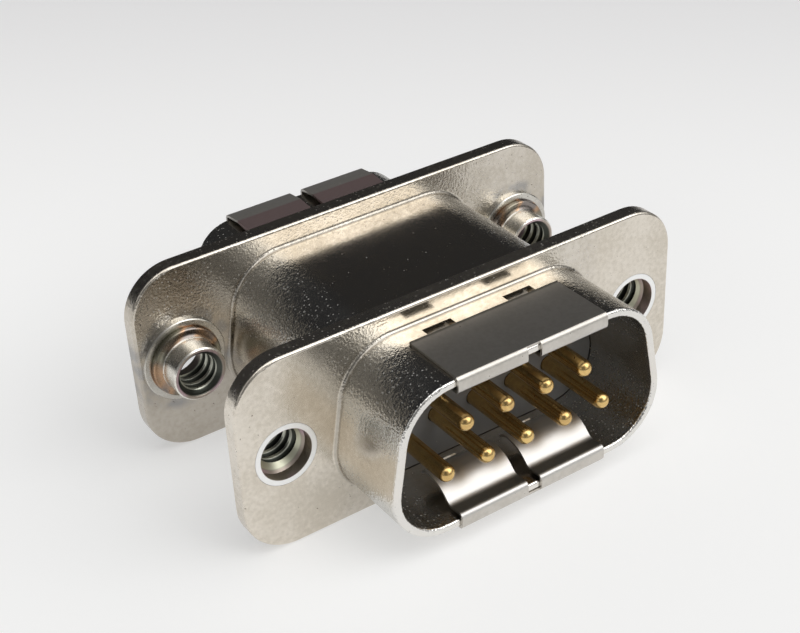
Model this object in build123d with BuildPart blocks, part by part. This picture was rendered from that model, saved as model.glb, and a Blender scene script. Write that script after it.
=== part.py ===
"""A nine-way D-shaped adapter connector: a plug at the front, a receptacle at the back, a body between.

Millimetres.  X runs along the width, the plug faces -Y, +Z is up.  The origin is under the middle of the
part, on the surface that the lower edges of its two flanges stand on.
"""
import os
from math import cos, radians, tan

from build123d import *

# Flanges: the two mounting plates and their screw places
flange_width = 30.81
flange_height = 12.55
flange_thickness = 1.12
flange_corner = 3.2
flange_edge_round = 0.2
flange_burr = 0.08
flange_gap = 10.96
screw_edge = 2.91

# Plug and body: the large D, drawn forward out of each flange
side_angle = 10.0
plug_width = 18.4
plug_height = 9.9
plug_corner = 3.5
plug_reach = 5.85
plug_wall = 0.5
body_wall = 0.38
root_round = 0.25
rim_round = 0.16

# Receptacle: the small D at the back, with a collar held inside the body
receptacle_width = 15.92
receptacle_height = 7.9
receptacle_reach = 5.8
receptacle_wall = 0.45
collar_thickness = 0.6
lip_thickness = 0.45
corner_flat = 0.2

# Contacts: nine turned pieces, a pin at the front and a socket at the back
pin_pitch = 2.77
row_spacing = 2.84
contact_margin = 2.4
pin_radius = 0.51
pin_recess = 0.2
stop_radius = 0.95
stop_length = 1.0
socket_radius = 0.85
socket_bore = 0.53
socket_depth = 4.6
socket_slot = 0.2
socket_slot_depth = 3.2

# Insulators: two moulded blocks that meet inside the body
plug_face_reach = 0.3
plug_block_depth = 5.4
receptacle_recess = 0.15
entry_radius = 0.62
entry_length = 0.9
entry_chamfer = 0.25

# Threaded inserts: turned, flush outside, with a barrel on the inner side of the flange
insert_shank_radius = 1.95
insert_mouth_radius = 1.62
insert_mouth_depth = 0.75
insert_mouth_taper = 0.42
insert_seat_radius = 2.7
insert_seat_height = 0.3
insert_step_radius = 2.25
insert_step_height = 0.35
insert_neck_height = 0.3
insert_barrel_radius = 1.73
insert_barrel_reach = 2.25
insert_bore_radius = 1.15
insert_end_chamfer = 0.08
insert_bore_chamfer = 0.35

# Grounding clips: folded spring sheet over the straight edges of each rim
clip_sheet = 0.16
clip_width = 10.28
clip_overhang = 0.06
clip_split = 0.94
plate_length = 4.3
plug_fold_room = 0.26
leaf_dip_place = 1.05
leaf_dip_room = 0.14
leaf_dip_bend = 0.7
leaf_knee_place = 1.95
leaf_knee_room = 1.0
leaf_knee_bend = 2.0
leaf_crest_place = 3.3
leaf_crest_room = 1.25
leaf_crest_bend = 0.8
tail_width = 1.6
tail_shoulder = 0.5
tail_depth = 0.3
inner_plate_length = 2.6
receptacle_fold_room = 0.16
bow_crest_place = 1.4
bow_crest_room = 0.34
bow_bend = 0.6
bow_end_place = 4.5
bow_end_room = 0.05

# Slots near the root of the plug, where the tails of the spring leaves are held
slot_spacing = 5.6
slot_width = 1.95
slot_start = 0.75
slot_length = 0.75

# Clearances
insert_clearance = 0.02
insulator_clearance = 0.05
contact_clearance = 0.03
collar_clearance = 0.03
clip_clearance = 0.02
receptacle_clearance = 0.1

# Sizes that follow from others: screws from the flange's ends, the number of contacts from the small D's
# width, and the small D's corners from the straight edge that its clips need
screw_spacing = flange_width - 2 * screw_edge
wide_row_count = int((receptacle_width - 2 * contact_margin) / pin_pitch) + 1
receptacle_narrow_side = receptacle_width - receptacle_height * tan(radians(side_angle))
corner_room = (receptacle_narrow_side - clip_width) / 2 + clip_overhang
clip_corner = corner_room / tan(radians(45 - side_angle / 2))
receptacle_corner = min(clip_corner, receptacle_height / 2 - corner_flat)

# Places along Y, from front to back
clip_proud = clip_clearance + clip_sheet
overall_length = 2 * clip_proud + plug_reach + 2 * flange_thickness + flange_gap + receptacle_reach
plug_rim = clip_proud - overall_length / 2
front_face = plug_rim + plug_reach
front_back = front_face + flange_thickness
rear_front = front_back + flange_gap
rear_face = rear_front + flange_thickness
receptacle_rim = rear_face + receptacle_reach
block_joint = front_back + plug_block_depth
lip_front = rear_face - lip_thickness
collar_front = lip_front - collar_thickness
pin_tip = plug_rim + pin_recess
receptacle_block_face = receptacle_rim - receptacle_recess
entry_floor = receptacle_block_face - entry_length
socket_end = entry_floor - contact_clearance
stop_front = block_joint - stop_length
slot_centre = front_face - slot_start - slot_length / 2

# Rim rounding, kept within the wall, and the folds that follow it
plug_rim_round = min(rim_round, 0.45 * plug_wall)
receptacle_rim_round = min(rim_round, 0.45 * receptacle_wall)
half_sheet = clip_sheet / 2
plug_bend = plug_rim_round + clip_clearance + half_sheet
receptacle_bend = receptacle_rim_round + clip_clearance + half_sheet

# Heights, screw places and contact places
centre_height = flange_height / 2
plug_top = centre_height + plug_height / 2
plug_roof = plug_top - plug_wall
receptacle_top = centre_height + receptacle_height / 2
receptacle_roof = receptacle_top - receptacle_wall
screw_places = {"left": -screw_spacing / 2, "right": screw_spacing / 2}
wide_row_start = -(wide_row_count - 1) / 2 * pin_pitch
wide_row_height = centre_height - row_spacing / 2
wide_row = [(wide_row_start + i * pin_pitch, wide_row_height) for i in range(wide_row_count)]
narrow_row = [(x + pin_pitch / 2, z + row_spacing) for x, z in wide_row[:-1]]
contact_places = wide_row + narrow_row


def inset(outline, amount):
    """The same D, moved inwards all round by one amount."""
    width, height, corner = outline
    return width - 2 * amount / cos(radians(side_angle)), height - 2 * amount, corner - amount


plug_outline = (plug_width, plug_height, plug_corner)
plug_bore = inset(plug_outline, plug_wall)
body_bore = inset(plug_outline, body_wall)
receptacle_outline = (receptacle_width, receptacle_height, receptacle_corner)
receptacle_bore = inset(receptacle_outline, receptacle_wall)


def section(place):
    """An upright plane across the part at one place along it; it faces the front."""
    return Plane.XZ.offset(-place)


def d_face(outline, place):
    """A D outline with its wide side down."""
    width, height, corner = outline
    wide_side = width + height * tan(radians(side_angle))
    with BuildSketch(section(place)) as face:
        with Locations((0, centre_height)):
            Trapezoid(wide_side, height, 90 - side_angle)
        fillet(face.vertices(), corner)
    return face.sketch


def flange_face(place):
    """The flange's rounded rectangle."""
    with BuildSketch(section(place)) as face:
        with Locations((0, centre_height)):
            RectangleRounded(flange_width, flange_height, flange_corner)
    return face.sketch


def circles(places, radius, place):
    """One round outline at each of some points across the part."""
    with BuildSketch(section(place)) as face:
        with Locations(*places):
            Circle(radius)
    return face.sketch


def screw_holes(place):
    """The two round holes of a flange, for the shanks of its inserts."""
    points = [(x, centre_height) for x in screw_places.values()]
    return circles(points, insert_shank_radius + insert_clearance, place)


# Plug shell: the front flange, with the plug's D drawn out of it and slots for the spring tails
with BuildPart() as plug_shell:
    extrude(flange_face(front_back), amount=flange_thickness)
    fillet(plug_shell.edges().group_by(Axis.Y)[0], flange_edge_round)
    chamfer(plug_shell.edges().group_by(Axis.Y)[-1], flange_burr)
    extrude(d_face(plug_outline, front_back), amount=flange_thickness + plug_reach)
    fillet(plug_shell.edges(Select.LAST).filter_by_position(Axis.Y, front_face, front_face), root_round)
    extrude(d_face(plug_bore, front_back), amount=flange_thickness + plug_reach, mode=Mode.SUBTRACT)
    fillet(plug_shell.edges().group_by(Axis.Y)[0], plug_rim_round)
    extrude(screw_holes(front_back), amount=flange_thickness, mode=Mode.SUBTRACT)
    with BuildSketch(Plane.XY):
        with Locations((-slot_spacing / 2, slot_centre), (slot_spacing / 2, slot_centre)):
            Rectangle(slot_width, slot_length)
    extrude(amount=flange_height, mode=Mode.SUBTRACT)

# Body shell: the rear flange, with the body's D drawn forward and a lip that holds the receptacle's collar
with BuildPart() as body_shell:
    extrude(flange_face(rear_face), amount=flange_thickness)
    fillet(body_shell.edges().group_by(Axis.Y)[0], flange_edge_round)
    chamfer(body_shell.edges().group_by(Axis.Y)[-1], flange_burr)
    extrude(d_face(plug_outline, rear_front), amount=flange_gap)
    fillet(body_shell.edges(Select.LAST).filter_by_position(Axis.Y, rear_front, rear_front), root_round)
    extrude(d_face(body_bore, lip_front), amount=lip_front - front_back, mode=Mode.SUBTRACT)
    lip_bore = inset(receptacle_outline, -receptacle_clearance)
    extrude(d_face(lip_bore, rear_face), amount=lip_thickness, mode=Mode.SUBTRACT)
    extrude(screw_holes(rear_face), amount=flange_thickness, mode=Mode.SUBTRACT)

# Receptacle shell: the small D tube, with a turned-out collar that sits behind the lip
with BuildPart() as receptacle_shell:
    extrude(d_face(inset(body_bore, collar_clearance), lip_front), amount=collar_thickness)
    extrude(d_face(receptacle_outline, receptacle_rim), amount=receptacle_rim - lip_front)
    bore_depth = receptacle_rim - collar_front
    extrude(d_face(receptacle_bore, receptacle_rim), amount=bore_depth, mode=Mode.SUBTRACT)
    fillet(receptacle_shell.edges().group_by(Axis.Y)[-1], receptacle_rim_round)

# Plug insulator: a block behind the front flange, with a nose through it and pockets for the contacts' stops
with BuildPart() as plug_insulator:
    extrude(d_face(inset(body_bore, insulator_clearance), block_joint), amount=plug_block_depth)
    nose_reach = flange_thickness + plug_face_reach
    extrude(d_face(inset(plug_bore, insulator_clearance), front_back), amount=nose_reach)
    pin_holes = circles(contact_places, pin_radius + contact_clearance, block_joint)
    extrude(pin_holes, amount=plug_block_depth + nose_reach, mode=Mode.SUBTRACT)
    stop_pockets = circles(contact_places, stop_radius + contact_clearance, block_joint)
    extrude(stop_pockets, amount=stop_length + contact_clearance, mode=Mode.SUBTRACT)

# Receptacle insulator: a block against the collar, with a nose that fills the small D and nine entry holes
with BuildPart() as receptacle_insulator:
    extrude(d_face(receptacle_outline, collar_front), amount=collar_front - block_joint)
    nose = d_face(inset(receptacle_bore, insulator_clearance), receptacle_block_face)
    extrude(nose, amount=receptacle_block_face - collar_front)
    entries = circles(contact_places, entry_radius, receptacle_block_face)
    extrude(entries, amount=entry_length, mode=Mode.SUBTRACT)
    mouths = receptacle_insulator.faces().sort_by(Axis.Y)[-1].edges().filter_by(GeomType.CIRCLE)
    chamfer([edge for edge in mouths if edge.radius < entry_radius + contact_clearance], entry_chamfer)
    socket_holes = circles(contact_places, socket_radius + contact_clearance, entry_floor)
    extrude(socket_holes, amount=entry_floor - block_joint, mode=Mode.SUBTRACT)
    relief = clip_sheet + 2 * clip_clearance - insulator_clearance
    relief_length = inner_plate_length + clip_clearance - receptacle_recess
    nose_height = receptacle_bore[1] - 2 * insulator_clearance
    with BuildSketch(section(receptacle_block_face)):
        with Locations((0, centre_height + nose_height / 2), (0, centre_height - nose_height / 2)):
            Rectangle(clip_width + 2 * clip_clearance, 2 * relief)
    extrude(amount=relief_length, mode=Mode.SUBTRACT)

# Contacts: a domed pin, a stop between the two insulators, and a split socket
contacts = {}
for number, (x, z) in enumerate(contact_places, start=1):
    with BuildPart() as contact:
        with BuildSketch(Plane.XY.offset(z)):
            with BuildLine():
                dome = CenterArc((x, pin_tip + pin_radius), pin_radius, 270, 90)
                Polyline(
                    dome @ 1,
                    (x + pin_radius, stop_front),
                    (x + stop_radius, stop_front),
                    (x + stop_radius, block_joint),
                    (x + socket_radius, block_joint),
                    (x + socket_radius, socket_end),
                    (x + socket_bore, socket_end),
                    (x + socket_bore, socket_end - socket_depth),
                    (x, socket_end - socket_depth),
                    dome @ 0,
                )
            make_face()
        revolve(axis=Axis((x, 0, z), (0, 1, 0)))
        with BuildSketch(section(socket_end)):
            with Locations((x, z)):
                Rectangle(2 * stop_radius, socket_slot)
                Rectangle(socket_slot, 2 * stop_radius)
        extrude(amount=socket_slot_depth, mode=Mode.SUBTRACT)
    contacts[f"contact_{number}"] = contact

# Threaded inserts: one turned shape, with its outside face flush with the flange's outside face
inserts = {}
for row, face, inward in (("front", front_face, 1), ("rear", rear_face, -1)):
    for side, x in screw_places.items():
        axis_plane = Plane(origin=(x, face, centre_height), x_dir=(1, 0, 0), z_dir=(0, 0, inward))
        seat_top = flange_thickness + insert_seat_height
        step_top = seat_top + insert_step_height
        barrel_end = flange_thickness + insert_barrel_reach
        with BuildPart() as insert:
            with BuildSketch(axis_plane):
                with BuildLine():
                    Polyline(
                        (insert_mouth_radius, 0),
                        (insert_shank_radius, 0),
                        (insert_shank_radius, flange_thickness),
                        (insert_seat_radius, flange_thickness),
                        (insert_seat_radius, seat_top),
                        (insert_step_radius, seat_top),
                        (insert_step_radius, step_top),
                        (insert_barrel_radius, step_top + insert_neck_height),
                        (insert_barrel_radius, barrel_end - insert_end_chamfer),
                        (insert_barrel_radius - insert_end_chamfer, barrel_end),
                        (insert_bore_radius + insert_bore_chamfer, barrel_end),
                        (insert_bore_radius, barrel_end - insert_bore_chamfer),
                        (insert_bore_radius, insert_mouth_depth + insert_mouth_taper),
                        (insert_mouth_radius, insert_mouth_depth),
                        close=True,
                    )
                make_face()
            revolve(axis=Axis(axis_plane.origin, axis_plane.y_dir))
        inserts[f"{row}_{side}_insert"] = insert


def strip_face(points, bends, start):
    """The side view of a folded strip of clip sheet; the points run along the middle of the sheet."""
    with BuildSketch(Plane.YZ.offset(start)) as face:
        with BuildLine():
            FilletPolyline(*points, radius=bends)
            offset(amount=half_sheet)
        make_face()
    return face.sketch


def plate_face(start, end, height):
    """The flat middle of a clip, as wide as both of its strips."""
    with BuildSketch(Plane.XY.offset(height)) as face:
        with Locations((0, (start + end) / 2)):
            Rectangle(clip_width, end - start)
    return face.sketch


strip_width = (clip_width - clip_split) / 2
strip_starts = (-clip_width / 2, clip_split / 2)
tail_starts = (-(slot_spacing + tail_width) / 2, (slot_spacing - tail_width) / 2)
middle_plane = Plane.XY.offset(centre_height)

# Plug clips: a plate on the shell, two folds over the rim, and two sprung leaves with tails in the slots
plate_height = plug_top + clip_clearance + half_sheet
fold_front = plug_rim - clip_clearance - half_sheet
leaf_roof = plug_roof - half_sheet
crest = Vector(plug_rim + leaf_crest_place, leaf_roof - leaf_crest_room)
tail_bend = Vector(slot_centre, leaf_roof - clip_clearance)
tail_end = Vector(slot_centre, plug_roof + tail_depth - half_sheet)
shoulder = crest + (tail_bend - crest).normalized() * tail_shoulder
leaf_points = [
    (plug_rim + plate_length / 2, plate_height),
    (fold_front, plate_height),
    (fold_front, leaf_roof - plug_fold_room),
    (plug_rim + leaf_dip_place, leaf_roof - leaf_dip_room),
    (plug_rim + leaf_knee_place, leaf_roof - leaf_knee_room),
    crest,
]
leaf_bends = [plug_bend, plug_bend, leaf_dip_bend, leaf_knee_bend, leaf_crest_bend]
tail_points = leaf_points + [tail_bend, tail_end]
tail_bends = leaf_bends + [plug_bend]
with BuildPart() as plug_top_clip:
    extrude(plate_face(plug_rim, plug_rim + plate_length, plate_height - half_sheet), amount=clip_sheet)
    for start in strip_starts:
        extrude(strip_face(leaf_points + [shoulder], leaf_bends, start), amount=strip_width)
    for start in tail_starts:
        extrude(strip_face(tail_points, tail_bends, start), amount=tail_width)
with BuildPart() as plug_bottom_clip:
    mirror(plug_top_clip.part, about=middle_plane)

# Receptacle clips: a plate inside the small D, two folds over its rim, and two bowed leaves on the outside
inner_height = receptacle_roof - clip_clearance - half_sheet
inner_start = receptacle_rim - inner_plate_length
fold_rear = receptacle_rim + clip_clearance + half_sheet
bow_floor = receptacle_top + half_sheet
bow_points = [
    (receptacle_rim - inner_plate_length / 2, inner_height),
    (fold_rear, inner_height),
    (fold_rear, bow_floor + receptacle_fold_room),
    (receptacle_rim - bow_crest_place, bow_floor + bow_crest_room),
    (receptacle_rim - bow_end_place, bow_floor + bow_end_room),
]
bow_bends = [receptacle_bend, receptacle_bend, bow_bend]
with BuildPart() as receptacle_top_clip:
    extrude(plate_face(inner_start, receptacle_rim, inner_height - half_sheet), amount=clip_sheet)
    for start in strip_starts:
        extrude(strip_face(bow_points, bow_bends, start), amount=strip_width)
with BuildPart() as receptacle_bottom_clip:
    mirror(receptacle_top_clip.part, about=middle_plane)

# Every piece in a file of its own
pieces = {
    "plug_shell": plug_shell,
    "body_shell": body_shell,
    "receptacle_shell": receptacle_shell,
    "plug_insulator": plug_insulator,
    "receptacle_insulator": receptacle_insulator,
    "plug_top_clip": plug_top_clip,
    "plug_bottom_clip": plug_bottom_clip,
    "receptacle_top_clip": receptacle_top_clip,
    "receptacle_bottom_clip": receptacle_bottom_clip,
    **contacts,
    **inserts,
}
os.makedirs("parts", exist_ok=True)
for name, piece in pieces.items():
    piece.part.label = name
    export_step(piece.part, f"parts/{name}.step")
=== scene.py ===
# %% [markdown]
# # A nine-way D-shaped adapter connector
# The adapter is a short metal body with a plug at the front and a receptacle at the back. Two plated
# shells carry the flanges, spring clips are folded over both rims, and nine gold contacts run through
# it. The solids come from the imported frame. This lesson gives them their finishes, cuts real threads
# into the four inserts, and sets up the floor, the light and the camera.

# %% Load the frame
import math

import bpy
from mathutils import Matrix, Vector


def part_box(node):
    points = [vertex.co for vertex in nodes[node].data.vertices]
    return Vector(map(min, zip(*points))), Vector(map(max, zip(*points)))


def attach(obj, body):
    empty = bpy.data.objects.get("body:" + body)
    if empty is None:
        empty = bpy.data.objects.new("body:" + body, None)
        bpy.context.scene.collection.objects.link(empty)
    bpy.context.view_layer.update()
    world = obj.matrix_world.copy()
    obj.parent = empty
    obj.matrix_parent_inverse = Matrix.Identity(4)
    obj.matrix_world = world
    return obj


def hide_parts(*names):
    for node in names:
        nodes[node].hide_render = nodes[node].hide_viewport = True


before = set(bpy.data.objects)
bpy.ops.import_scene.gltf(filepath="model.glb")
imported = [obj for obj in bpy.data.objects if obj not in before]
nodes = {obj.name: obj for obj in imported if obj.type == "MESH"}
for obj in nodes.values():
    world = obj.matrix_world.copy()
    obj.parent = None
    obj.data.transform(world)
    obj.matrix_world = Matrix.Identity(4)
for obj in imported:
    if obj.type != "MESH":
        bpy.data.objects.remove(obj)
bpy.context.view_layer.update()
mm = 0.001
print("nodes in the frame:", len(nodes))

# %% [markdown]
# ## Places that the finishes need
# Finishes such as the stains round the inserts or the polish of the spring leaves belong to places on
# the part. Those places could be typed in again, but then they would drift when the solids change, so
# they are read from the boxes of the nodes.

# %% Read the places
plug_low, plug_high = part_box("plug_shell")
insert_low, insert_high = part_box("front_right_insert")
clip_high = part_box("plug_top_clip")[1]
crest_to_end = 1.6 * mm
bow_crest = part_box("receptacle_top_clip")[1].y - crest_to_end
plug_rim = plug_low.y
front_face = insert_low.y
rear_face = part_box("body_shell")[1].y
flange_thickness = plug_high.y - front_face
rear_front = rear_face - flange_thickness
centre_height = (plug_low.z + plug_high.z) / 2
screw_x = (insert_low.x + insert_high.x) / 2
print("flange thickness, mm:", round(flange_thickness / mm, 3))
print("screw axis, mm:", round(screw_x / mm, 3), round(centre_height / mm, 3))

# %% [markdown]
# ## Helpers for node trees
# A material here is a small network of nodes. Wiring every node by hand takes three lines each, so one
# helper adds a node, sets its plain inputs and links the others, and a few more name what is used most.
# The looks stay easy to read that way.

# %% Node helpers
def fill(tree, made, inputs):
    """Link the inputs that are given as sockets, and set the others."""
    for name, value in inputs.items():
        if isinstance(value, bpy.types.NodeSocket):
            tree.links.new(value, made.inputs[name])
        else:
            made.inputs[name].default_value = value


def add(tree, kind, inputs=None, **settings):
    """Add a node with its settings and inputs."""
    made = tree.nodes.new(kind)
    for name, value in settings.items():
        setattr(made, name, value)
    fill(tree, made, inputs or {})
    return made


def maths(tree, operation, first, second=0.0, clamp=False):
    """One Math node and its result."""
    made = add(tree, "ShaderNodeMath", {0: first, 1: second}, operation=operation, use_clamp=clamp)
    return made.outputs[0]


def times(tree, first, *others):
    """The product of some values."""
    for value in others:
        first = maths(tree, "MULTIPLY", first, value)
    return first


def most(tree, first, *others):
    """The greatest of some values."""
    for value in others:
        first = maths(tree, "MAXIMUM", first, value)
    return first


def distance_from(tree, value, middle):
    """How far a value lies from a middle, on either side."""
    return maths(tree, "ABSOLUTE", maths(tree, "SUBTRACT", value, middle))


def fade(tree, value, start, end):
    """0 before start, 1 past end, smooth between; start may lie above end."""
    inputs = {"Value": value, "From Min": start, "From Max": end}
    return add(tree, "ShaderNodeMapRange", inputs, interpolation_type="SMOOTHSTEP").outputs["Result"]


def noise(tree, place, scale, detail):
    """Cloudy noise; detail lays finer noise over it."""
    inputs = {"Vector": place, "Scale": scale, "Detail": detail}
    return add(tree, "ShaderNodeTexNoise", inputs).outputs["Fac"]


print("helpers for values ready")

# %% Colour, group and material helpers
# The Mix node has one set of sockets for each kind of value; these are its colours.
first_colour, second_colour, mixed_colour = 6, 7, 2


def mix_colour(tree, factor, first, second):
    """A colour between two others."""
    inputs = {"Factor": factor, first_colour: first, second_colour: second}
    return add(tree, "ShaderNodeMix", inputs, data_type="RGBA").outputs[mixed_colour]


def coat(tree, colour, *coats):
    """Lay coats over a colour; each has a mask, its share of full cover and its own colour."""
    for mask, share, coat_colour in coats:
        colour = mix_colour(tree, times(tree, mask, share), colour, coat_colour)
    return colour


def new_group(name, inputs, outputs):
    """An empty node group with named sockets, the sockets it is given and the node that ends it."""
    group = bpy.data.node_groups.new(name, "ShaderNodeTree")
    for way, sockets in (("INPUT", inputs), ("OUTPUT", outputs)):
        for socket, kind in sockets.items():
            group.interface.new_socket(socket, in_out=way, socket_type="NodeSocket" + kind)
    return group, group.nodes.new("NodeGroupInput").outputs, group.nodes.new("NodeGroupOutput")


def new_material(name):
    """A material with its tree, its shader and the object coordinates."""
    material = bpy.data.materials.new(name)
    material.use_nodes = True
    tree = material.node_tree
    place = add(tree, "ShaderNodeTexCoord").outputs["Object"]
    return material, tree, tree.nodes["Principled BSDF"], place


def dress(material, *names):
    """Give a finish to some nodes of the frame."""
    for name in names:
        nodes[name].material_slots[0].material = material
    print(material.name, "on", len(names), "nodes")


print("helpers for colours, groups and materials ready")

# %% [markdown]
# ## Plated metal skin
# Nickel plating on pressed sheet is never even: it has cloudy patches a few millimetres wide, a fine
# mottle and a few dark pits. The shells, the clips, the contacts and the inserts all show it in
# different amounts, so it is one node group with its own values in each finish. An image could hold the
# same, but noise stays sharp close up.

# %% Group: metal skin
cloud_share, mottle_share = 0.55, 0.45
middle_tone, tone_band = 0.5, (0.36, 0.64)
pit_edge, pit_roughness = (0.0, 0.05), 0.2
metal_skin, skin_in, skin_end = new_group(
    "metal_skin",
    {"Vector": "Vector", "Bright": "Color", "Dull": "Color", "Pit colour": "Color", "Cloud scale": "Float",
     "Mottle scale": "Float", "Pit scale": "Float", "Pit level": "Float", "Roughness": "Float",
     "Roughness spread": "Float"},
    {"Colour": "Color", "Roughness": "Float", "Height": "Float"})
clouds = noise(metal_skin, skin_in["Vector"], skin_in["Cloud scale"], detail=4.0)
mottle = noise(metal_skin, skin_in["Vector"], skin_in["Mottle scale"], detail=3.0)
pit_noise = noise(metal_skin, skin_in["Vector"], skin_in["Pit scale"], detail=1.0)
pits = fade(metal_skin, maths(metal_skin, "SUBTRACT", pit_noise, skin_in["Pit level"]), *pit_edge)
tone = maths(metal_skin, "ADD", times(metal_skin, clouds, cloud_share),
             times(metal_skin, mottle, mottle_share))
plated = mix_colour(metal_skin, fade(metal_skin, tone, *tone_band), skin_in["Dull"], skin_in["Bright"])
wander = times(metal_skin, maths(metal_skin, "SUBTRACT", middle_tone, tone), skin_in["Roughness spread"])
uneven = maths(metal_skin, "ADD", skin_in["Roughness"], wander)
fill(metal_skin, skin_end, {
    "Colour": mix_colour(metal_skin, pits, plated, skin_in["Pit colour"]),
    "Roughness": maths(metal_skin, "ADD", uneven, times(metal_skin, pits, pit_roughness), clamp=True),
    "Height": maths(metal_skin, "SUBTRACT", mottle, pits)})
print("group:", metal_skin.name)


def skin(tree, place, bright, dull, pit, cloud_size, mottle_size, pit_size, pit_level, roughness, spread):
    """Place the metal skin in a finish; the three sizes are in millimetres."""
    inputs = {
        "Vector": place, "Bright": bright, "Dull": dull, "Pit colour": pit,
        "Cloud scale": 1 / (cloud_size * mm), "Mottle scale": 1 / (mottle_size * mm),
        "Pit scale": 1 / (pit_size * mm), "Pit level": pit_level,
        "Roughness": roughness, "Roughness spread": spread}
    return add(tree, "ShaderNodeGroup", inputs, node_tree=metal_skin).outputs

# %% [markdown]
# ## Dust
# A small part that lay in a drawer carries a little dust: single pale specks, not an even film.
# Painting them one by one would be slow, so a Voronoi texture divides space into cells and a few cells,
# picked by their random colour, show a dot at their centre. Each finish that uses the group has its own
# share and size.

# %% Group: dust
dust_and_glint_colour = (0.72, 0.71, 0.69, 1)
dust, dust_in, dust_end = new_group(
    "dust", {"Vector": "Vector", "Scale": "Float", "Share": "Float", "Size": "Float"}, {"Mask": "Float"})
cells = add(dust, "ShaderNodeTexVoronoi", {"Vector": dust_in["Vector"], "Scale": dust_in["Scale"]}).outputs
chance = add(dust, "ShaderNodeSeparateColor", {"Color": cells["Color"]}).outputs["Red"]
picked = maths(dust, "LESS_THAN", chance, dust_in["Share"])
dots = fade(dust, cells["Distance"], dust_in["Size"], 0.0)
fill(dust, dust_end, {"Mask": times(dust, dots, picked)})
print("group:", dust.name)


def specks(tree, place, cell, share, size):
    """Specks in a finish, for dust and for painted glints: the cells' size in millimetres, the share with
    a speck, its size in a cell.
    """
    inputs = {"Vector": place, "Scale": 1 / (cell * mm), "Share": share, "Size": size}
    return add(tree, "ShaderNodeGroup", inputs, node_tree=dust).outputs["Mask"]

# %% [markdown]
# ## Distance from the screw axes
# The stains on the rear flange and the colours of the inserts both follow the four screw axes. The part
# is symmetrical, so one group folds the left half onto the right and the back onto the front, and gives
# the distance from the axis and the depth under the outer face.

# %% Group: screw axis
middle_y = (front_face + rear_face) / 2
screw_axis, axis_in, axis_end = new_group(
    "screw_axis", {"Vector": "Vector"}, {"Radius": "Float", "Depth": "Float"})
axis_place = add(screw_axis, "ShaderNodeSeparateXYZ", {"Vector": axis_in["Vector"]}).outputs
beside = maths(screw_axis, "SUBTRACT", maths(screw_axis, "ABSOLUTE", axis_place["X"]), screw_x)
above = maths(screw_axis, "SUBTRACT", axis_place["Z"], centre_height)
squares = [maths(screw_axis, "POWER", side, 2.0) for side in (beside, above)]
off_middle = distance_from(screw_axis, axis_place["Y"], middle_y)
fill(screw_axis, axis_end, {
    "Radius": maths(screw_axis, "SQRT", maths(screw_axis, "ADD", *squares)),
    "Depth": maths(screw_axis, "SUBTRACT", rear_face - middle_y, off_middle)})
print("group:", screw_axis.name)

# %% [markdown]
# ## Nickel shells
# The three shells are drawn from sheet. The corners of the D are stretched and take a rough skin with
# painted glints, and so does the front flange beside them, which also gets a slight painted reflection of
# the dark corners, while the rest of the flanges stays flat. The rear flange is darker, less so towards
# its top, and has grey stains round its inserts; painted shade darkens the roots of the drawn parts.
# Cutting the shells up into materials would show seams, so soft masks by place mix everything in one
# finish.

# %% Finish: nickel shell
nickel_shell, tree, shader, place = new_material("nickel_shell")
plating = skin(tree, place, bright=(0.77, 0.715, 0.635, 1), dull=(0.64, 0.585, 0.50, 1),
               pit=(0.20, 0.17, 0.13, 1), cloud_size=3.5, mottle_size=0.30, pit_size=0.20,
               pit_level=0.745, roughness=0.21, spread=0.26)
across = add(tree, "ShaderNodeSeparateXYZ", {"Vector": place}).outputs
half_thick = flange_thickness / 2
from_middle = maths(tree, "ABSOLUTE", across["X"])
off_centre = distance_from(tree, across["Z"], centre_height)
off_front = distance_from(tree, across["Y"], front_face + half_thick)
off_rear = distance_from(tree, across["Y"], rear_face - half_thick)
off_nearest = maths(tree, "MINIMUM", off_front, off_rear)
print("distances: middle, centre, both flanges")

# %% Nickel shell: drawn corners
corner_x = (5.0 * mm, 6.2 * mm)
corner_z = (0.6 * mm, 2.2 * mm)
corner_reach = (10.0 * mm, 8.6 * mm)
clear_of_flanges = (0.6 * mm, 1.0 * mm)
by_front_flange = (half_thick + 0.5 * mm, half_thick + 0.2 * mm)
round_corner = times(tree, fade(tree, from_middle, *corner_x), fade(tree, off_centre, *corner_z))
corners = times(tree, round_corner, fade(tree, off_nearest, *clear_of_flanges))
by_corner = times(tree, round_corner, fade(tree, from_middle, *corner_reach))
pulled_and_painted_reflection = times(tree, by_corner, fade(tree, off_front, *by_front_flange))
print("masks: corners of the D, front flange beside them")

# %% Nickel shell: rear flange, rim, edges and roots
rear_start = (rear_front - 0.3 * mm, rear_front - 0.1 * mm)
rear_end = (rear_face + 0.3 * mm, rear_face + 0.1 * mm)
upper_part = (centre_height - 1.0 * mm, centre_height + 4.0 * mm)
rim_band = (plug_rim + 0.45 * mm, plug_rim + 0.25 * mm)
sheared_band = (half_thick - 0.02 * mm, half_thick - 0.08 * mm)
edge_band = (half_thick + 0.02 * mm, half_thick - 0.10 * mm)
root_offset, root_shade_band = 0.14 * mm, (0.15 * mm, 0.09 * mm)
on_rear = times(tree, fade(tree, across["Y"], *rear_start), fade(tree, across["Y"], *rear_end))
upper = fade(tree, across["Z"], *upper_part)
rim = fade(tree, across["Y"], *rim_band)
sheared = fade(tree, off_nearest, *sheared_band)
edges = fade(tree, off_nearest, *edge_band)
off_roots = [distance_from(tree, across["Y"], face - root_offset) for face in (front_face, rear_front)]
# Painted shade: a thin dark band along the roots of the drawn parts.
root = fade(tree, maths(tree, "MINIMUM", *off_roots), *root_shade_band)
print("masks: rear flange, rim, sheared edges, roots of the drawn parts")
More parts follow.
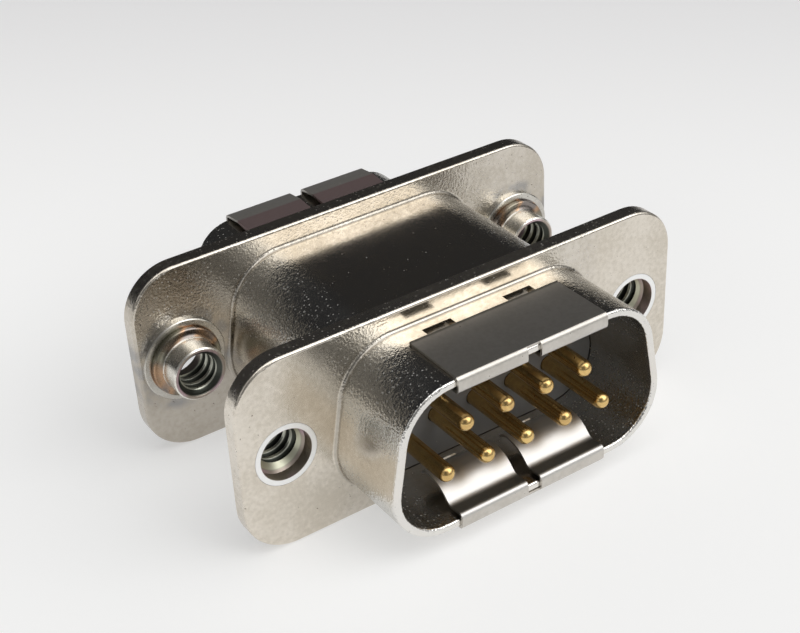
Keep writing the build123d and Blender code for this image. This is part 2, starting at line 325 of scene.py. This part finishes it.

# %% [markdown]
# ### Colour of the shells
# Coats lie over the plating as thin coats, each with its own mask: the rear flange darker, less so towards
# its top, grey stains, a slight painted reflection beside the corners, a grey tone on the corners, painted
# shade along the roots and a polished rim. Small pale specks on the upper rear flange, the corners and the
# cut edges are painted glints, which stand for facets that catch the light. Real facets would take a very
# fine mesh, so the glints are specks from the dust group, bunched by a slow noise.

# %% Nickel shell: coats
halo_band = (3.7 * mm, 3.1 * mm)
blotch_size, blotch_band = 1.2 * mm, (0.35, 0.6)
rear_dark_share, rear_dark_less_above = 0.50, 0.25
axis = add(tree, "ShaderNodeGroup", {"Vector": place}, node_tree=screw_axis).outputs
halo = times(tree, fade(tree, axis["Radius"], *halo_band), on_rear)
blotch = noise(tree, place, 1 / blotch_size, detail=3.0)
stain = times(tree, halo, fade(tree, blotch, *blotch_band))
# The rear flange is made darker, less so towards its top.
rear_darkening = times(tree, on_rear, maths(tree, "SUBTRACT", rear_dark_share, times(tree, upper, rear_dark_less_above)))
coated = coat(
    tree, plating["Colour"],
    # rear flange darker, less so towards its top
    (rear_darkening, 1.0, (0.30, 0.27, 0.235, 1)),
    (stain, 0.6, (0.25, 0.26, 0.28, 1)),
    # slight painted reflection of the dark corners on the front flange beside them
    (pulled_and_painted_reflection, 0.15, (0.30, 0.285, 0.26, 1)),
    (corners, 0.6, (0.62, 0.63, 0.62, 1)),
    # painted shade along the roots of the drawn parts
    (root, 0.45, (0.22, 0.20, 0.17, 1)),
    (rim, 0.7, (0.84, 0.82, 0.79, 1)))
# The coats include a painted reflection beside the corners and painted shade along the roots.
print("coats: grime, stains, drawn sheet, roots, polished rim")

# %% Nickel shell: glints, dust and roughness
cluster_band = (0.30, 0.55)
glint_above, glint_corner, glint_edge = 0.8, 0.75, 0.45
edge_coarse, corner_coarse, rim_smooth, dust_coarse = 0.07, 0.03, 0.08, 0.6
rear_above = times(tree, maths(tree, "SUBTRACT", on_rear, sheared, clamp=True), upper)
glint_places = most(
    tree, times(tree, rear_above, glint_above),
    times(tree, most(tree, corners, pulled_and_painted_reflection), glint_corner), times(tree, sheared, glint_edge))
# Painted glints: pale matt specks stand in for highlights on facets.
glints = times(tree, specks(tree, place, cell=0.20, share=0.50, size=0.32), glint_places,
               fade(tree, blotch, *cluster_band))
dust_and_painted_glints = most(tree, specks(tree, place, cell=0.45, share=0.14, size=0.10), glints)
coarse = most(tree, times(tree, sheared, edge_coarse), times(tree, corners, corner_coarse))
coarser = maths(tree, "ADD", plating["Roughness"], coarse)
smoother = maths(tree, "SUBTRACT", coarser, times(tree, rim, rim_smooth))
fill(tree, shader, {
    "Base Color": mix_colour(tree, dust_and_painted_glints, coated, dust_and_glint_colour),
    "Metallic": maths(tree, "SUBTRACT", 1.0, dust_and_painted_glints),
    "Roughness": maths(tree, "ADD", smoother, times(tree, dust_and_painted_glints, dust_coarse), clamp=True)})
print("glints and dust on the shells")

# %% [markdown]
# ### Relief of the shells
# Stretched sheet has an orange peel about a third of a millimetre wide, and a finer grain that
# sparkles. Both are too shallow to change the outline, so a bump is enough, masked so that the flat
# sheet stays calm.

# %% Nickel shell: orange peel and sparkle
def bump(tree, height, strength, depth):
    """The normal of a shallow relief."""
    inputs = {"Strength": strength, "Distance": depth, "Height": height}
    return add(tree, "ShaderNodeBump", inputs).outputs["Normal"]


peel_size, peel_height = 0.32 * mm, 5.0
sparkle_size, sparkle_height = 0.15 * mm, 9.0
rear_grain, rear_grain_above = 0.12, 0.30
rim_grain, edge_grain, pulled_grain = 0.4, 0.2, 0.7
peel = noise(tree, place, 1 / peel_size, detail=1.5)
sparkle = noise(tree, place, 1 / sparkle_size, detail=1.0)
grainy = times(tree, on_rear, maths(tree, "ADD", rear_grain, times(tree, upper, rear_grain_above)))
drawn = most(tree, corners, times(tree, pulled_and_painted_reflection, pulled_grain))
hammered = most(tree, drawn, grainy, times(tree, rim, rim_grain), times(tree, edges, edge_grain))
peeled = times(tree, peel, drawn, peel_height)
sparkling = times(tree, sparkle, hammered, sparkle_height)
shell_height = maths(tree, "ADD", plating["Height"], maths(tree, "ADD", peeled, sparkling))
fill(tree, shader, {"Normal": bump(tree, shell_height, strength=0.35, depth=0.012 * mm)})
dress(nickel_shell, "plug_shell", "body_shell", "receptacle_shell")

# %% [markdown]
# ## Spring clips
# Each grounding clip is one strip of spring sheet. Its outside keeps the satin of the rolled sheet, and
# the leaves inside are rubbed by every mate that slides over them. Painted shade darkens the flat lip
# behind each fold and the tails in the slots, and the bowed leaves at the back are greyer, with a purple
# painted reflection up to their crests. The sheet has no seams, so one finish covers all of it, with the
# coats placed by height and by depth.

# %% Finish: spring sheet
spring_sheet, tree, shader, place = new_material("spring_sheet")
sheet = skin(tree, place, bright=(0.63, 0.60, 0.555, 1), dull=(0.56, 0.53, 0.485, 1),
             pit=(0.18, 0.13, 0.09, 1), cloud_size=2.5, mottle_size=0.25, pit_size=0.25,
             pit_level=0.78, roughness=0.41, spread=0.08)
plate_to_leaf = 0.7 * mm
leaf_height = clip_high.z - centre_height - plate_to_leaf
inside_band = (leaf_height, leaf_height - 0.2 * mm)
tail_start = (clip_high.y - 0.8 * mm, clip_high.y - 0.6 * mm)
tail_end = (clip_high.y + 0.2 * mm, clip_high.y + 0.1 * mm)
lip_start = (plug_rim - 0.05 * mm, plug_rim + 0.05 * mm)
lip_end = (plug_rim + 1.05 * mm, plug_rim + 0.75 * mm)
back_start = (rear_face, rear_face + 0.5 * mm)
bow_end = (bow_crest + 0.1 * mm, bow_crest - 0.1 * mm)
across = add(tree, "ShaderNodeSeparateXYZ", {"Vector": place}).outputs
inside = fade(tree, distance_from(tree, across["Z"], centre_height), *inside_band)
painted_tail_shade = times(tree, fade(tree, across["Y"], *tail_start), fade(tree, across["Y"], *tail_end))
painted_lip_shade = times(tree, inside, fade(tree, across["Y"], *lip_end), fade(tree, across["Y"], *lip_start))
at_back = fade(tree, across["Y"], *back_start)
painted_bow_reflection = times(tree, at_back, fade(tree, across["Y"], *bow_end))
print("masks: leaves inside, tails, lips, bowed leaves at the back")

# %% Spring sheet: coats, dust and relief
back_coarse = 0.16
sheet_colour = coat(
    tree, sheet["Colour"],
    (inside, 1.0, (0.60, 0.58, 0.555, 1)),
    # painted shade on the lips behind the folds and on the tails in the slots
    (most(tree, painted_tail_shade, painted_lip_shade), 0.8, (0.16, 0.15, 0.13, 1)),
    (at_back, 0.35, (0.30, 0.29, 0.28, 1)),
    # painted reflection, purple, on the bowed leaves up to their crests
    (painted_bow_reflection, 0.7, (0.26, 0.155, 0.16, 1)))
sheet_dust = specks(tree, place, cell=0.45, share=0.10, size=0.10)
fill(tree, shader, {
    "Base Color": mix_colour(tree, sheet_dust, sheet_colour, dust_and_glint_colour),
    "Metallic": maths(tree, "SUBTRACT", 1.0, sheet_dust),
    "Roughness": maths(tree, "ADD", sheet["Roughness"], times(tree, at_back, back_coarse), clamp=True),
    "Normal": bump(tree, sheet["Height"], strength=0.2, depth=0.005 * mm)})
dress(spring_sheet, "plug_top_clip", "plug_bottom_clip", "receptacle_top_clip", "receptacle_bottom_clip")

# %% [markdown]
# ## Gold contacts
# The contacts are turned from brass and plated with a thin layer of gold. Fine rings from the lathe and
# a little brown patina keep them from looking like plain yellow metal, so both are noise, the rings
# stretched across the axis.

# %% Finish: gold contact
gold_contact, tree, shader, place = new_material("gold_contact")
gilding = skin(tree, place, bright=(0.80, 0.56, 0.225, 1), dull=(0.63, 0.42, 0.17, 1),
               pit=(0.25, 0.13, 0.05, 1), cloud_size=1.6, mottle_size=0.25, pit_size=0.3,
               pit_level=0.72, roughness=0.24, spread=0.12)
ring_size, ring_stretch = 0.08 * mm, (0.05, 1.0, 0.05)
along = add(tree, "ShaderNodeMapping", {"Vector": place, "Scale": ring_stretch}).outputs["Vector"]
rings = noise(tree, along, 1 / ring_size, detail=1.0)
fill(tree, shader, {
    "Base Color": gilding["Colour"],
    "Metallic": 1.0,
    "Roughness": gilding["Roughness"],
    "Normal": bump(tree, rings, strength=0.15, depth=0.004 * mm)})
contacts = [name for name in nodes if name.startswith("contact_")]
dress(gold_contact, *contacts)

# %% [markdown]
# ## Moulded insulators
# The two blocks are a dark grey moulding with a fine matt grain. Fine noise in the bump gives the
# grain, and a slow change of tone keeps the faces from looking painted.

# %% Finish: dark moulding
dark_moulding, tree, shader, place = new_material("dark_moulding")
darker, paler = (0.165, 0.168, 0.173, 1), (0.25, 0.255, 0.262, 1)
tone_size, grain_size = 4.0 * mm, 0.12 * mm
least_roughness, roughness_spread = 0.35, 0.25
slow = noise(tree, place, 1 / tone_size, detail=3.0)
grain = noise(tree, place, 1 / grain_size, detail=2.0)
block_dust = specks(tree, place, cell=0.40, share=0.12, size=0.10)
fill(tree, shader, {
    "Base Color": mix_colour(tree, block_dust, mix_colour(tree, slow, darker, paler), dust_and_glint_colour),
    "Roughness": maths(tree, "ADD", times(tree, grain, roughness_spread), least_roughness),
    "Normal": bump(tree, grain, strength=0.25, depth=0.01 * mm)})
dress(dark_moulding, "plug_insulator", "receptacle_insulator")

# %% [markdown]
# ## Plated inserts
# The inserts are turned and passivated. The outer ring is bright, the mouth is a purplish grey, the
# thread in the bore is painted dark as shade, darkest in its grooves and paler on its crests and where it
# starts by the mouth, and the shoulder behind the flange has the orange film of yellow passivation.
# Separate materials would give hard seams, so one finish mixes the colours by the distance from the screw
# axis and the depth under the face.

# %% Finish: insert metal and film
insert_metal, tree, shader, place = new_material("insert_metal")
turned = skin(tree, place, bright=(0.86, 0.84, 0.78, 1), dull=(0.70, 0.67, 0.61, 1),
              pit=(0.20, 0.17, 0.13, 1), cloud_size=1.5, mottle_size=0.16, pit_size=0.2,
              pit_level=0.70, roughness=0.27, spread=0.22)
film_size = 1.5 * mm
film_stops = ((0.36, (0.17, 0.16, 0.11, 1)), (0.45, (0.12, 0.08, 0.045, 1)),
              (0.55, (0.36, 0.185, 0.075, 1)), (0.64, (0.14, 0.11, 0.10, 1)))
film = noise(tree, place, 1 / film_size, detail=0.5)
ramp = add(tree, "ShaderNodeValToRGB", {"Fac": film})
stops = ramp.color_ramp.elements
stops.remove(stops[0])
stops[0].position = film_stops[0][0]
stops[0].color = film_stops[0][1]
for position, colour in film_stops[1:]:
    stops.new(position).color = colour
print("film colours:", len(stops))

# %% Insert finish: zones
behind_band = (flange_thickness + 0.10 * mm, flange_thickness + 0.25 * mm)
shoulder_edge, barrel_edge = (2.36 * mm, 2.28 * mm), (1.74 * mm, 1.80 * mm)
mouth_edge, bore_edge = (1.66 * mm, 1.61 * mm), (1.52 * mm, 1.42 * mm)
face_band, start_band = (0.12 * mm, 0.05 * mm), (1.24 * mm, 1.16 * mm)
groove_band = (1.165 * mm, 1.23 * mm)
axis = add(tree, "ShaderNodeGroup", {"Vector": place}, node_tree=screw_axis).outputs
from_axis, under_face = axis["Radius"], axis["Depth"]
behind = fade(tree, under_face, *behind_band)
shoulder = times(tree, fade(tree, from_axis, *shoulder_edge), fade(tree, from_axis, *barrel_edge), behind)
on_seat = times(tree, fade(tree, from_axis, *reversed(shoulder_edge)), behind)
in_mouth = fade(tree, from_axis, *mouth_edge)
in_bore = fade(tree, from_axis, *bore_edge)
on_face = times(tree, fade(tree, under_face, *face_band), fade(tree, from_axis, *reversed(mouth_edge)))
at_start = times(tree, fade(tree, under_face, *start_band), in_bore)
groove = fade(tree, from_axis, *groove_band)
print("zones: shoulder, seat, mouth, bore, face, start of the thread, grooves")

# %% Insert finish: colours of the zones
mouth_band, matt_share = (0.42, 0.58), 0.12
mouth_grey, mouth_purple = (0.42, 0.36, 0.31, 1), (0.58, 0.44, 0.48, 1)
# Painted shade in the bore: the thread is dark, darkest in its grooves.
crest_colour, groove_shade_colour = (0.62, 0.63, 0.54, 1), (0.07, 0.075, 0.064, 1)
mouth_colour = mix_colour(tree, fade(tree, film, *mouth_band), mouth_grey, mouth_purple)
shaded_thread_colour = mix_colour(tree, groove, crest_colour, groove_shade_colour)
insert_colour = coat(
    tree, turned["Colour"],
    (shoulder, 0.85, ramp.outputs["Color"]),
    (on_seat, 0.45, (0.32, 0.30, 0.27, 1)),
    (in_mouth, 1.0, mouth_colour),
    # painted shade in the thread, paler where it starts by the mouth
    (in_bore, 1.0, shaded_thread_colour),
    (at_start, 1.0, (0.60, 0.60, 0.47, 1)),
    (on_face, 1.0, (0.93, 0.93, 0.92, 1)))
matt = times(tree, most(tree, on_face, in_mouth), matt_share)
fill(tree, shader, {
    "Base Color": insert_colour,
    "Metallic": 1.0,
    "Roughness": maths(tree, "ADD", turned["Roughness"], matt),
    "Normal": bump(tree, turned["Height"], strength=0.2, depth=0.006 * mm)})
print("finish:", insert_metal.name)

# %% [markdown]
# ## Threaded inserts
# The solids leave the bores plain, and the real ones have a fine inch thread. A bump can't give the
# scalloped edge that shows in the mouth, so each insert is remade: a ring is extruded and widened along
# the turned profile, and a tap made with the Screw modifier cuts the thread with a Boolean, as in the
# workshop.

# %% Profile of the insert
insert_depth = insert_high.y - insert_low.y
seat_radius = (insert_high.x - insert_low.x) / 2
shank_radius, shoulder_radius, barrel_radius = 1.95 * mm, 2.25 * mm, 1.73 * mm
mouth_radius, bore_radius = 1.62 * mm, 1.15 * mm
seat_height, shoulder_height, neck_height = 0.30 * mm, 0.35 * mm, 0.30 * mm
seat_end = flange_thickness + seat_height
shoulder_end = seat_end + shoulder_height
neck_end = shoulder_end + neck_height
mouth_depth, taper_end = 0.75 * mm, 1.17 * mm
end_chamfer, bore_chamfer, edge_bevel = 0.08 * mm, 0.35 * mm, 0.06 * mm
fillet_start = shoulder_radius - edge_bevel
fillet_degrees = (15, 30, 45, 60, 75, 90)
fillet_angles = [math.radians(degrees) for degrees in fillet_degrees]
fillet = [(fillet_start - (fillet_start - barrel_radius) * math.sin(angle),
           shoulder_end + (neck_end - shoulder_end) * (1 - math.cos(angle))) for angle in fillet_angles]
turned_profile = [
    (shank_radius, 0), (shank_radius, flange_thickness), (seat_radius, flange_thickness),
    (seat_radius, seat_end - edge_bevel), (seat_radius - edge_bevel, seat_end),
    (shoulder_radius, seat_end), (shoulder_radius, shoulder_end - edge_bevel),
    (fillet_start, shoulder_end), *fillet, (barrel_radius, insert_depth - end_chamfer),
    (barrel_radius - end_chamfer, insert_depth), (bore_radius + bore_chamfer, insert_depth),
    (bore_radius, insert_depth - bore_chamfer), (bore_radius, taper_end), (mouth_radius, mouth_depth),
    (mouth_radius, 0)]
print("points on the turned profile:", len(turned_profile))

# %% Turn the insert
def deselect_all():
    """Nothing stays selected from an earlier step."""
    bpy.ops.object.select_all(action="DESELECT")


def set_mode(mode):
    """Go into edit mode or back to object mode."""
    bpy.ops.object.mode_set(mode=mode)


def weld_all(distance):
    """Merge the points of the edited mesh that lie closer together than a distance."""
    bpy.ops.mesh.select_all(action="SELECT")
    bpy.ops.mesh.remove_doubles(threshold=distance)


ring_points, weld_distance = 96, 0.001 * mm
deselect_all()
bpy.ops.mesh.primitive_circle_add(vertices=ring_points, radius=mouth_radius, rotation=(math.pi / 2, 0, 0))
master_insert = bpy.context.object
bpy.ops.object.transform_apply(rotation=True)
set_mode("EDIT")
bpy.ops.mesh.select_all(action="SELECT")
radius, depth = mouth_radius, 0.0
for next_radius, next_depth in turned_profile:
    bpy.ops.mesh.extrude_region_move(TRANSFORM_OT_translate={"value": (0, next_depth - depth, 0)})
    widen = next_radius / radius
    bpy.ops.transform.resize(value=(widen, 1, widen), center_override=(0, next_depth, 0))
    radius, depth = next_radius, next_depth
weld_all(weld_distance)
bpy.ops.mesh.normals_make_consistent(inside=False)
set_mode("OBJECT")
print("turned insert:", len(master_insert.data.polygons), "faces")

# %% [markdown]
# ### The tap
# A tap is the thread as a solid. Its profile for one turn is a flat near the axis, a flank, a flat
# further out and a flank back. It is drawn on the points of a small circle whose closing edge is taken
# away, and the Screw modifier winds it up. Caps close both ends, because a Boolean needs a closed solid.

# %% Draw one turn of the tap
pitch, thread_major, thread_minor = 0.635 * mm, 1.42 * mm, 1.13 * mm
flank_angle = math.radians(30)
thread_flank = (thread_major - thread_minor) * math.tan(flank_angle)
thread_crest = pitch / 4
thread_profile = [
    (thread_minor, 0), (thread_minor, thread_crest), (thread_major, thread_crest + thread_flank),
    (thread_major, pitch - thread_flank), (thread_minor, pitch)]
deselect_all()
bpy.ops.mesh.primitive_circle_add(vertices=len(thread_profile), radius=thread_minor)
tap = bpy.context.object
for vertex, (radius, rise) in zip(tap.data.vertices, thread_profile):
    vertex.co = (radius, 0, rise)
set_mode("EDIT")
bpy.ops.mesh.select_mode(type="EDGE")
bpy.ops.mesh.select_all(action="DESELECT")
set_mode("OBJECT")
closing_edge = {0, len(thread_profile) - 1}
for edge in tap.data.edges:
    edge.select = set(edge.vertices) == closing_edge
set_mode("EDIT")
bpy.ops.mesh.delete(type="EDGE")
set_mode("OBJECT")
print("thread profile:", len(tap.data.vertices), "points")

# %% Wind the tap
def finish_modifier(piece, modifier):
    """Apply one modifier to a piece."""
    bpy.context.view_layer.objects.active = piece
    bpy.ops.object.modifier_apply(modifier=modifier.name)


tap_start, turn_steps = 0.19 * mm, 48
turns = math.ceil((insert_depth + pitch - tap_start) / pitch)
screw = tap.modifiers.new("thread", "SCREW")
screw.axis = "Z"
screw.angle = 2 * math.pi
screw.screw_offset = pitch
screw.iterations = turns
screw.steps = turn_steps
screw.render_steps = turn_steps
screw.use_merge_vertices = True
screw.merge_threshold = weld_distance
finish_modifier(tap, screw)
set_mode("EDIT")
weld_all(weld_distance)
bpy.ops.mesh.select_all(action="DESELECT")
bpy.ops.mesh.select_non_manifold()
bpy.ops.mesh.fill_holes(sides=0)
bpy.ops.mesh.select_all(action="SELECT")
bpy.ops.mesh.normals_make_consistent(inside=False)
set_mode("OBJECT")
tap.data.transform(Matrix.Translation((0, tap_start, 0)) @ Matrix.Rotation(-math.pi / 2, 4, "X"))
print("tap:", len(tap.data.polygons), "faces,", turns, "turns")

# %% [markdown]
# ## Tap the insert and place four copies
# The cut leaves slivers along its edges, so points closer than a few thousandths of a millimetre are
# merged. The thread is right-handed on every insert, so the rear ones are turned half round instead of
# mirrored: a mirror would make them left-handed.

# %% Tap the insert
sliver_width, smooth_angle = 0.003 * mm, math.radians(35)
cut = master_insert.modifiers.new("tap", "BOOLEAN")
cut.operation = "DIFFERENCE"
cut.solver = "EXACT"
cut.object = tap
finish_modifier(master_insert, cut)
bpy.data.objects.remove(tap)
deselect_all()
master_insert.select_set(True)
bpy.context.view_layer.objects.active = master_insert
set_mode("EDIT")
weld_all(sliver_width)
bpy.ops.mesh.dissolve_degenerate(threshold=sliver_width)
set_mode("OBJECT")
bpy.ops.object.shade_smooth_by_angle(angle=smooth_angle)
master_insert.data.materials.append(insert_metal)
print("threaded insert:", len(master_insert.data.polygons), "faces")

# %% Place the inserts
for row, outer_face, turn in (("front", front_face, 0.0), ("rear", rear_face, math.pi)):
    for side, x in (("left", -screw_x), ("right", screw_x)):
        threaded = master_insert.copy()
        threaded.data = master_insert.data.copy()
        threaded.name = f"{row}_{side}_threaded_insert"
        bpy.context.scene.collection.objects.link(threaded)
        to_place = Matrix.Translation((x, outer_face, centre_height))
        threaded.data.transform(to_place @ Matrix.Rotation(turn, 4, "Z"))
        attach(threaded, "root")
        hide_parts(f"{row}_{side}_insert")
        print("placed:", threaded.name)
bpy.data.objects.remove(master_insert)

# %% [markdown]
# ## Floor
# The adapter stands on a plain pale sheet. The lamps alone would leave the
# sheet too dark, and stronger ones would bleach the metal. So the sheet also glows where it is seen
# directly, in a mirror or through a clear piece, but adds no soft light to the part. The glow is painted
# light, stronger at the front than at the back, and dimmed a little round the part as a painted shadow.
# Far away it ends in the dark of the room.

# %% Floor
deselect_all()
floor_size, floor_parts = 6.0, 8
bpy.ops.mesh.primitive_grid_add(x_subdivisions=floor_parts, y_subdivisions=floor_parts, size=floor_size)
floor = bpy.context.object
floor.name = "pale_floor"
away_direction, glow_band = (0.65, 0.76, 0.0), (100 * mm, 5 * mm)
far_glow, near_glow = (0.30, 0.295, 0.302, 1), (0.50, 0.50, 0.498, 1)
shade_band, shade_share = (42 * mm, 14 * mm), 0.08
sheet_end_band = (120 * mm, 260 * mm)
no_glow = (0, 0, 0, 1)
sheet_base, room_base = (0.56, 0.56, 0.557, 1), (0.05, 0.05, 0.05, 1)


def dot_product(tree, first, second):
    """How far one vector reaches along another."""
    made = add(tree, "ShaderNodeVectorMath", {0: first, 1: second}, operation="DOT_PRODUCT")
    return made.outputs["Value"]


pale_sheet, tree, shader, place = new_material("pale_sheet")
# Painted light: the glow is stronger at the front than at the back.
glow_mask = fade(tree, dot_product(tree, place, away_direction), *glow_band)
apart = add(tree, "ShaderNodeVectorMath", {0: place}, operation="LENGTH").outputs["Value"]
# Painted shadow: the glow is dimmed a little near the part.
shade = times(tree, fade(tree, apart, *shade_band), shade_share)
sheet_end = fade(tree, apart, *sheet_end_band)
glow = mix_colour(tree, glow_mask, far_glow, near_glow)
rays = add(tree, "ShaderNodeLightPath").outputs
fill(tree, shader, {
    "Base Color": mix_colour(tree, sheet_end, sheet_base, room_base),
    "Roughness": 0.9,
    "Emission Color": mix_colour(tree, most(tree, shade, sheet_end), glow, no_glow),
    "Emission Strength": most(
        tree, rays["Is Camera Ray"], rays["Is Glossy Ray"], rays["Is Transmission Ray"])})
floor.data.materials.append(pale_sheet)
print("floor:", floor_size, "m wide")

# %% [markdown]
# ## Light
# Two soft lamps draw the edges, and most of the light comes from the front half of a pale room, so the
# shadows are faint. Polished metal is only as bright as what it faces: the back of the room, the low
# horizon and a patch on the viewer's side stay dark, and the flat tops and round sides of the shells
# mirror them.

# %% Lamps
def soft_lamp(name, azimuth, elevation, distance, width, height, power):
    """A soft box aimed at the part; the azimuth runs from the front towards the right."""
    turn, lift = math.radians(azimuth), math.radians(elevation)
    away = Vector((math.sin(turn) * math.cos(lift), -math.cos(turn) * math.cos(lift), math.sin(lift)))
    lamp = bpy.data.lights.new(name, "AREA")
    lamp.shape = "RECTANGLE"
    lamp.size = width
    lamp.size_y = height
    lamp.energy = power
    placed = bpy.data.objects.new(name, lamp)
    placed.location = away * distance + Vector((0, 0, centre_height))
    placed.rotation_euler = away.to_track_quat("Z", "Y").to_euler()
    bpy.context.scene.collection.objects.link(placed)
    print(name, [round(value, 3) for value in placed.location])


soft_lamp("front_lamp", azimuth=40, elevation=42, distance=1.2, width=0.9, height=0.7, power=3.7)
soft_lamp("top_lamp", azimuth=-20, elevation=80, distance=1.2, width=1.2, height=1.0, power=4.0)

# %% World
def keep_some(tree, mask, least):
    """A mask that falls to a least value instead of to 0."""
    return maths(tree, "ADD", times(tree, mask, 1 - least), least)


forward_share, around_share, front_band = -0.8, 0.15, (0.0, 0.4)
viewer_direction, viewer_band, viewer_least = (-0.49, -0.64, 0.60), (0.95, 0.80), 0.16
horizon_band, horizon_least = (0.10, 0.36), 0.2
dark_room, pale_room = (0.022, 0.022, 0.023, 1), (0.92, 0.92, 0.91, 1)
world = bpy.data.worlds.new("studio")
bpy.context.scene.world = world
world.use_nodes = True
tree = world.node_tree
direction = add(tree, "ShaderNodeTexCoord").outputs["Generated"]
look = add(tree, "ShaderNodeSeparateXYZ", {"Vector": direction}).outputs
forward = times(tree, look["Y"], forward_share)
around = times(tree, maths(tree, "ADD", maths(tree, "ABSOLUTE", look["X"]), look["Z"]), around_share)
front_half = fade(tree, maths(tree, "ADD", forward, around), *front_band)
off_viewer = fade(tree, dot_product(tree, direction, viewer_direction), *viewer_band)
clear = keep_some(tree, off_viewer, viewer_least)
raised = keep_some(tree, fade(tree, look["Z"], *horizon_band), horizon_least)
light = times(tree, front_half, clear, raised)
fill(tree, tree.nodes["Background"], {"Color": mix_colour(tree, light, dark_room, pale_room)})
print("world:", world.name)

# %% [markdown]
# ## Camera
# The camera stands where the photograph was taken: to the left of the plug and above it. Its place and
# lens were solved from the known sizes of the flanges, so the picture lines up without shift.

# %% Camera
viewer_place_mm = Vector((-43.169, -66.280, 57.045))
viewer_tilt_degrees = (57.634, 2.651, -34.508)
camera = bpy.data.cameras.new("camera")
camera.sensor_width = 36.0
camera.sensor_fit = "HORIZONTAL"
camera.lens = 68.99
camera.clip_start = 1 * mm
viewer = bpy.data.objects.new("camera", camera)
viewer.location = viewer_place_mm * mm
viewer.rotation_euler = [math.radians(angle) for angle in viewer_tilt_degrees]
bpy.context.scene.collection.objects.link(viewer)
bpy.context.scene.camera = viewer
bpy.context.scene.view_settings.view_transform = "Standard"
print("camera lens, mm:", camera.lens)
